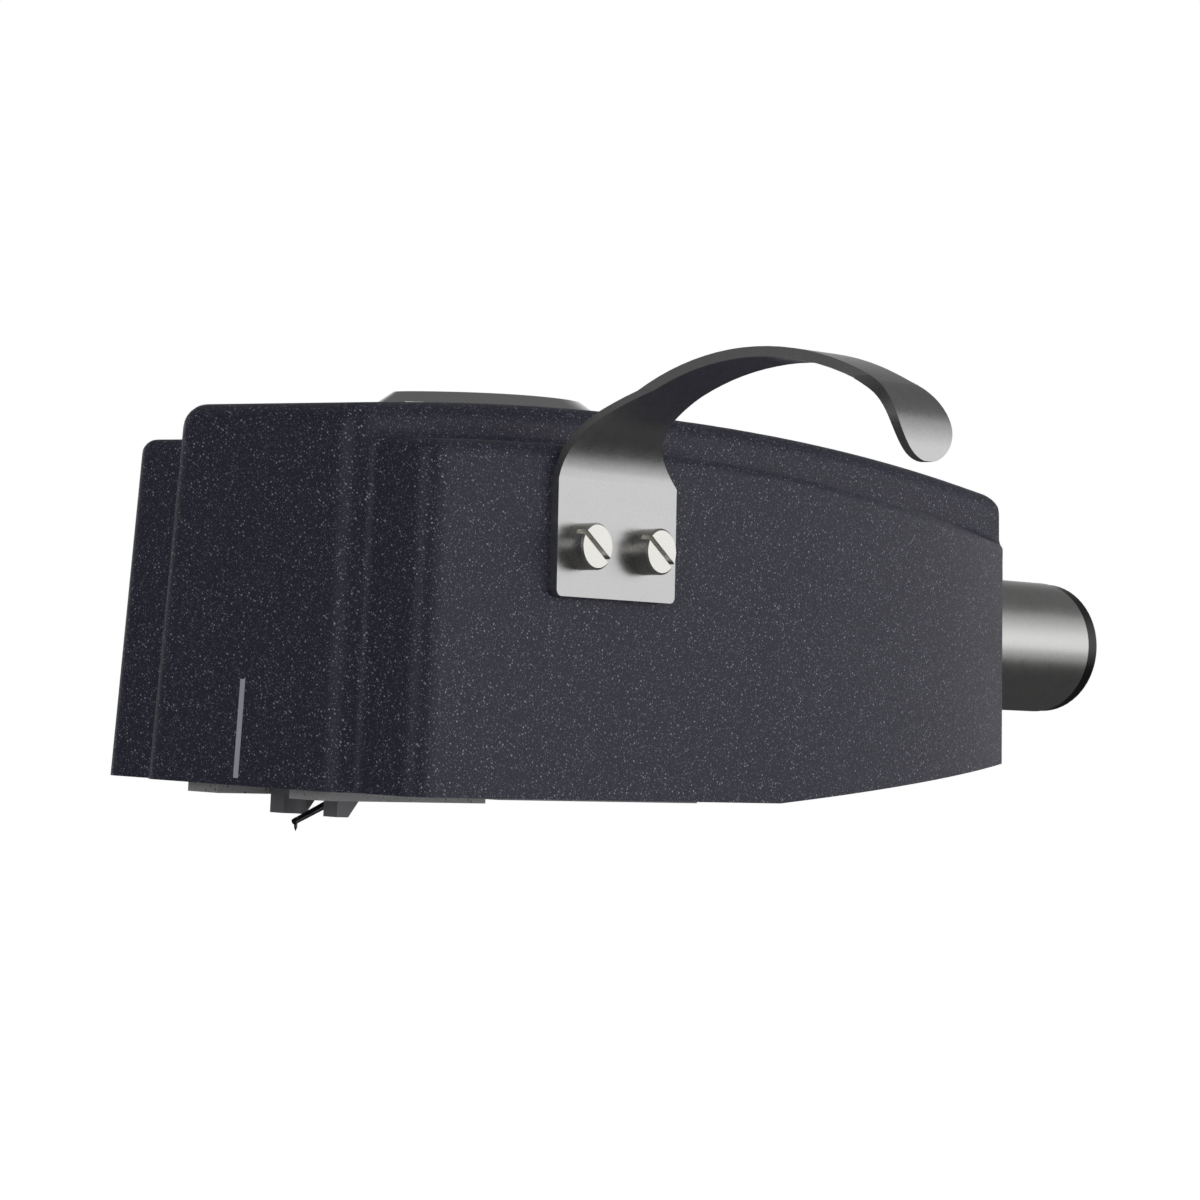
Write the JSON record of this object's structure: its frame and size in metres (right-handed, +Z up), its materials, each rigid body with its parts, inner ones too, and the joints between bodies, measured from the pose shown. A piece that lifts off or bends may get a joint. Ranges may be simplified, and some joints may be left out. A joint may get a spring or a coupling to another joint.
{
  "type": "turntable stylus cartridge",
  "caption": "Turntable stylus cartridge built into its own headshell, with a bent finger lift and a round plug-in arm connector.",
  "frame": {"origin": "centre of the face that the arm's collar closes against, on the axis of the connector tube", "axes": "+X along the tube, out of the shell towards the arm; +Z up, away from the record; the finger lift stands out to -Y"},
  "size_m": [0.0701, 0.043, 0.0253],
  "materials": {
    "shell": "satin charcoal with fine pale speckle",
    "front_plate": "pale grey with dark speckle",
    "rear_plate": "plain pale grey",
    "plate_screw": "satin",
    "index_paint": "matt pale grey paint",
    "badge_chrome": "polished",
    "lift_steel": "satin, tumbled",
    "lift_screw": "nickel plated",
    "tube_metal": "satin, turned",
    "key_metal": "satin",
    "washer_rubber": "matt black",
    "insulator_black": "semi-gloss black",
    "contact_gold": "gold plated",
    "carrier_plastic": "satin mid grey",
    "magnet_plated": "plated",
    "pole_iron": "satin soft iron",
    "damper_rubber": "matt",
    "spring_wire": "drawn wire",
    "ferrule_metal": "satin",
    "former_iron": "satin soft iron",
    "coil_copper": "enamelled copper wire",
    "cantilever_alloy": "dark anodised",
    "diamond": "clear, polished",
    "terminal_tin": "tinned",
    "lead_white": "satin sleeve",
    "lead_red": "satin sleeve",
    "lead_green": "satin sleeve",
    "lead_blue": "satin sleeve"
  },
  "bodies": {
    "cartridge": {"shell": "shell", "front_base_plate": "front_plate", "rear_base_plate": "rear_plate", "base_plate_screws": "plate_screw", "index_line": "index_paint", "badge": "badge_chrome", "finger_lift": "lift_steel", "finger_lift_screws": "lift_screw", "connector_tube": "tube_metal", "locating_key": "key_metal", "rubber_washer": "washer_rubber", "insulator": "insulator_black", "generator_carrier": "carrier_plastic", "magnet": "magnet_plated", "front_pole": "pole_iron", "rear_pole": "pole_iron", "pole_pin": "pole_iron", "damper": "damper_rubber", "suspension_wire": "spring_wire", "contact_1": "contact_gold", "contact_2": "contact_gold", "contact_3": "contact_gold", "contact_4": "contact_gold", "terminal_1": "terminal_tin", "terminal_2": "terminal_tin", "terminal_3": "terminal_tin", "terminal_4": "terminal_tin", "lead_white": "lead_white", "lead_red": "lead_red", "lead_green": "lead_green", "lead_blue": "lead_blue"},
    "suspension": {"suspension_ferrule": "ferrule_metal"},
    "stylus_arm": {"armature_former": "former_iron", "coil_left": "coil_copper", "coil_right": "coil_copper", "cantilever": "cantilever_alloy", "stylus": "diamond"}
  },
  "joints": [
    {"name": "stylus_sway", "type": "hinge", "parent": "cartridge", "child": "suspension", "pos_m": [-0.04532, 0, -0.0086], "axis": [-0.3746, 0, 0.9272], "range_deg": [-2.5, 2.5], "stiffness_Nm_per_rad": 0.009},
    {"name": "stylus_lift", "type": "hinge", "parent": "suspension", "child": "stylus_arm", "pos_m": [-0.04532, 0, -0.0086], "axis": [0, 1, 0], "range_deg": [-2.5, 2.5], "stiffness_Nm_per_rad": 0.009}
  ]
}
